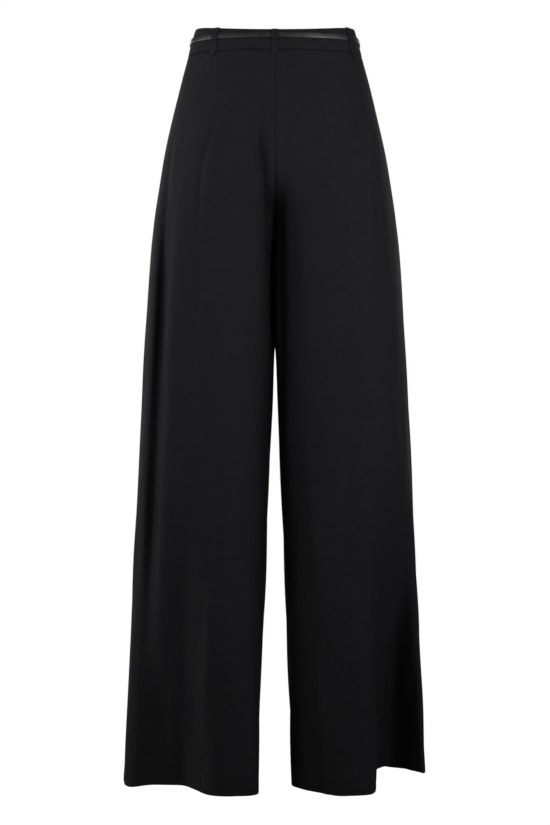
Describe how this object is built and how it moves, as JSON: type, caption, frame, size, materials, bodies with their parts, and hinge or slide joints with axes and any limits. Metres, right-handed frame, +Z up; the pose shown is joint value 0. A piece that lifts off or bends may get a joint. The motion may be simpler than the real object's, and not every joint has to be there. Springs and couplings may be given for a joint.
{
  "type": "wide-leg trousers with a belt",
  "caption": "High-waisted black wide-leg trousers, hollow and filled out as when worn, with a waistband, belt loops and a narrow buckled belt.",
  "frame": {"origin": "middle of the waistband, at the centre of the waist opening, where the wearer's waist holds it", "axes": "+Z up, the front opening faces -Y, the back faces +Y, the wearer's left is +X"},
  "size_m": [0.4367, 0.237, 1.0865],
  "materials": {
    "black_crepe": "matt black crepe with a soft sheen",
    "belt_leather": "smooth black leather, satin",
    "buckle_metal": "dark polished metal"
  },
  "bodies": {
    "root": {"back_left": "black_crepe", "back_right": "black_crepe", "front_left": "black_crepe", "front_right": "black_crepe", "waistband": "black_crepe", "fly_placket": "black_crepe", "belt_loop_back_left": "black_crepe", "belt_loop_back_centre": "black_crepe", "belt_loop_back_right": "black_crepe", "belt_loop_front_left": "black_crepe", "belt_loop_front_right": "black_crepe", "belt_strap": "belt_leather", "belt_keeper": "belt_leather", "buckle_frame": "buckle_metal", "buckle_prong": "buckle_metal"}
  },
  "joints": []
}
